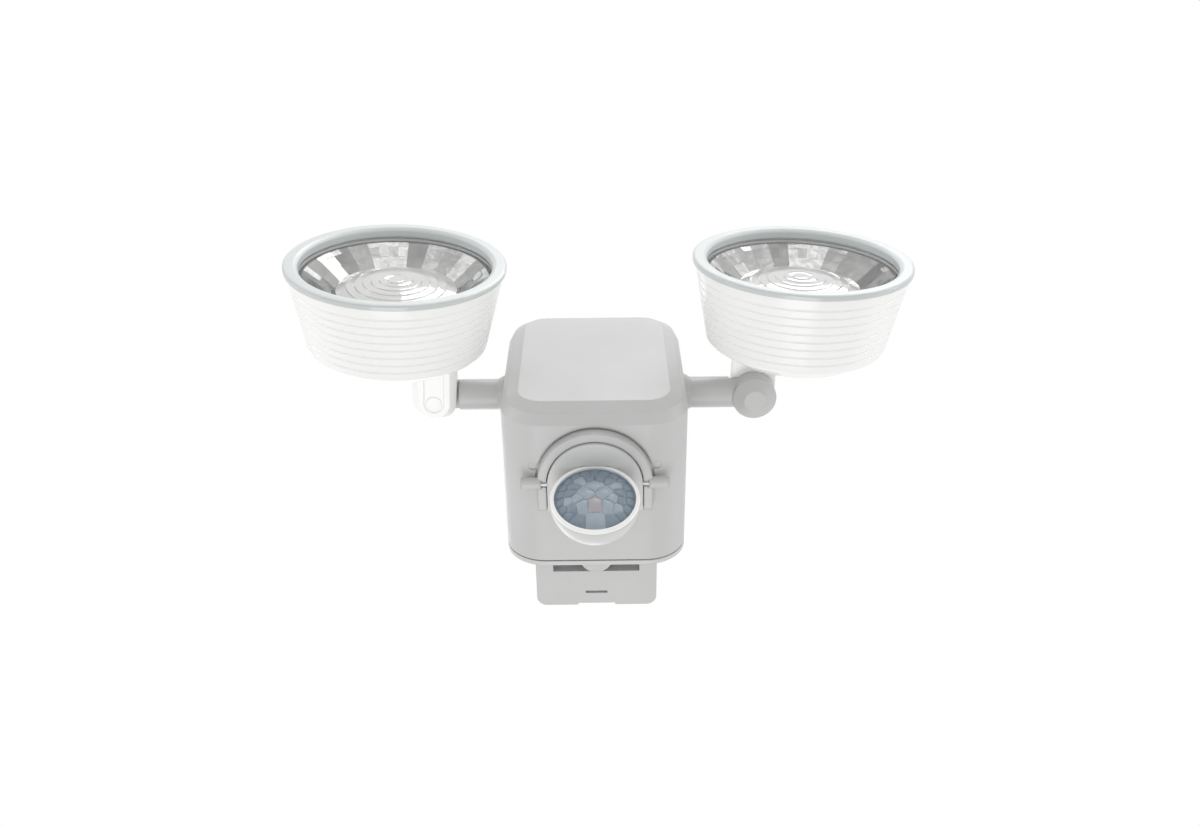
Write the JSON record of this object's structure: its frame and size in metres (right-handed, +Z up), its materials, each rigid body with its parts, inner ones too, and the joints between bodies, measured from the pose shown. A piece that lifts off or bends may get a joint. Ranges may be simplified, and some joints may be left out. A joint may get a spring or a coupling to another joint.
{
  "type": "motion sensor security light",
  "caption": "Battery wall light with twin round lamp heads on jointed arms, a box case on a wall bracket and a tilting motion sensor underneath.",
  "frame": {"origin": "middle of the wall bracket's back face, midway between its two screw holes", "axes": "the wall is the plane Y = 0 and the light's front faces -Y; +Z is up; X runs along both arms"},
  "size_m": [0.2527, 0.1478, 0.1305],
  "materials": {
    "grey_abs": "fine-moulded light grey ABS",
    "white_abs": "moulded white ABS",
    "arm_nylon": "moulded mid-grey nylon",
    "black_abs": "moulded black ABS",
    "dark_rubber": "silicone rubber",
    "zinc_steel": "zinc-plated steel",
    "can_steel": "drawn steel can",
    "cell_jacket": "plain cell jacket",
    "circuit_board": "green circuit board",
    "white_board": "white circuit board",
    "component_black": "moulded electronic parts",
    "lead_pvc": "PVC insulation",
    "sink_aluminium": "pressed aluminium",
    "led_phosphor": "LED phosphor",
    "reflector_chrome": "vacuum-metallised plastic",
    "clear_acrylic": "clear moulded acrylic",
    "clear_polycarbonate": "clear moulded polycarbonate",
    "fresnel_polyethylene": "milky polyethylene"
  },
  "bodies": {
    "case": {"wall_bracket": "grey_abs", "rear_cover": "grey_abs", "cover_gasket": "dark_rubber", "cover_screws": "zinc_steel", "front_housing": "grey_abs", "battery_tray": "black_abs", "battery_cells": "cell_jacket", "contact_springs": "zinc_steel", "contact_plates": "zinc_steel", "main_board": "circuit_board", "board_components": "component_black", "board_screws": "zinc_steel", "left_arm_seal": "dark_rubber", "right_arm_seal": "dark_rubber", "sensor_yoke": "grey_abs", "pivot_pins": "zinc_steel"},
    "latch": {"release_latch": "grey_abs"},
    "left_arm_body": {"left_arm": "arm_nylon", "left_arm_retainer": "black_abs", "left_tilt_screw": "zinc_steel", "left_lamp_lead": "lead_pvc"},
    "left_head_body": {"left_head_shell": "white_abs", "left_heat_sink": "sink_aluminium", "left_led_board": "white_board", "left_led": "led_phosphor", "left_reflector": "reflector_chrome", "left_condenser_lens": "clear_acrylic", "left_lens_seal": "dark_rubber", "left_lens_cover": "clear_polycarbonate"},
    "right_arm_body": {"right_arm": "arm_nylon", "right_arm_retainer": "black_abs", "right_tilt_screw": "zinc_steel", "right_lamp_lead": "lead_pvc"},
    "right_head_body": {"right_head_shell": "white_abs", "right_heat_sink": "sink_aluminium", "right_led_board": "white_board", "right_led": "led_phosphor", "right_reflector": "reflector_chrome", "right_condenser_lens": "clear_acrylic", "right_lens_seal": "dark_rubber", "right_lens_cover": "clear_polycarbonate"},
    "sensor_body": {"sensor_base": "grey_abs", "sensor_cup": "white_abs", "lens_ring": "white_abs", "fresnel_lens": "fresnel_polyethylene", "sensor_board": "circuit_board", "pyro_sensor": "can_steel"}
  },
  "joints": [
    {"name": "latch_press", "type": "slide", "parent": "case", "child": "latch", "axis": [0, 0, 1], "range_m": [0, 0.0015], "stiffness_N_per_m": 400, "springref_m": -0.001},
    {"name": "left_arm_swivel", "type": "hinge", "parent": "case", "child": "left_arm_body", "pos_m": [-0.0675, -0.084, 0], "axis": [1, 0, 0], "range_deg": [-85, 85]},
    {"name": "right_arm_swivel", "type": "hinge", "parent": "case", "child": "right_arm_body", "pos_m": [0.0675, -0.084, 0], "axis": [1, 0, 0], "range_deg": [-82, 88]},
    {"name": "left_head_tilt", "type": "hinge", "parent": "left_arm_body", "child": "left_head_body", "pos_m": [-0.0675, -0.084, 0], "axis": [0, 0, 1], "range_deg": [-75, 5]},
    {"name": "right_head_tilt", "type": "hinge", "parent": "right_arm_body", "child": "right_head_body", "pos_m": [0.0675, -0.084, 0], "axis": [0, 0.0489, 0.9988], "range_deg": [-10, 70]},
    {"name": "sensor_tilt", "type": "hinge", "parent": "case", "child": "sensor_body", "pos_m": [0, -0.0697, -0.0489], "axis": [1, 0, 0], "range_deg": [-15, 35]}
  ]
}
